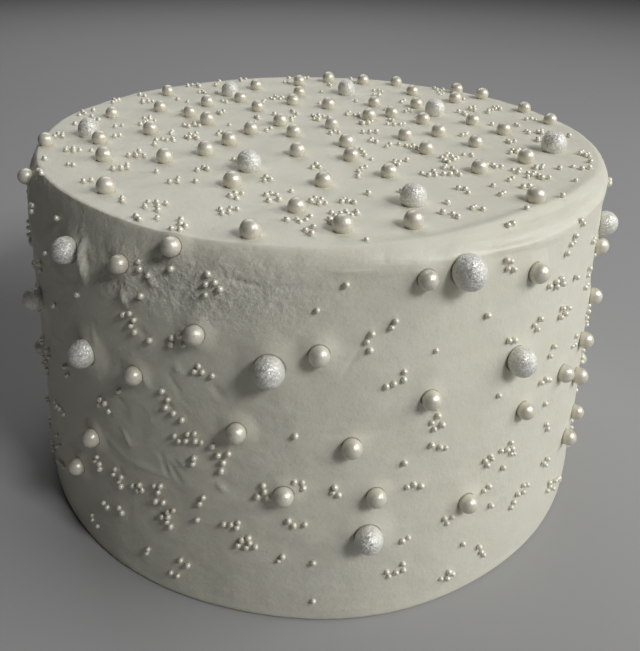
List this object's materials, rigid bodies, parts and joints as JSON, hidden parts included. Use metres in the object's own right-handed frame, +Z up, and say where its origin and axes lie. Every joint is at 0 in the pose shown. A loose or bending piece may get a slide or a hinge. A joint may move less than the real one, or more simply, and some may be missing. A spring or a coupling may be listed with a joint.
{
  "type": "single-tier wedding cake",
  "caption": "Round uncut wedding cake of a single tier under smooth pale icing, with glittered and pearly sugar balls pressed into its side and top.",
  "frame": {"origin": "centre of the flat base", "axes": "+Z up, -Y towards the side that shows in the picture"},
  "size_m": [0.2382, 0.2365, 0.1375],
  "materials": {
    "icing": "satin",
    "glitter_pearl": "glossy"
  },
  "bodies": {
    "root": {"iced_cake": "icing", "large_pearl_01": "glitter_pearl", "large_pearl_02": "glitter_pearl", "large_pearl_03": "glitter_pearl", "large_pearl_04": "glitter_pearl", "large_pearl_05": "glitter_pearl", "large_pearl_06": "glitter_pearl", "large_pearl_07": "glitter_pearl", "large_pearl_08": "glitter_pearl", "large_pearl_09": "glitter_pearl", "large_pearl_10": "glitter_pearl", "large_pearl_11": "glitter_pearl", "large_pearl_12": "glitter_pearl", "large_pearl_13": "glitter_pearl", "large_pearl_14": "glitter_pearl", "large_pearl_15": "glitter_pearl", "large_pearl_16": "glitter_pearl", "large_pearl_17": "glitter_pearl", "large_pearl_18": "glitter_pearl", "large_pearl_19": "glitter_pearl", "large_pearl_20": "glitter_pearl", "large_pearl_21": "glitter_pearl", "large_pearl_22": "glitter_pearl", "large_pearl_23": "glitter_pearl", "large_pearl_24": "glitter_pearl", "large_pearl_25": "glitter_pearl", "large_pearl_26": "glitter_pearl", "large_pearl_27": "glitter_pearl"}
  },
  "joints": []
}
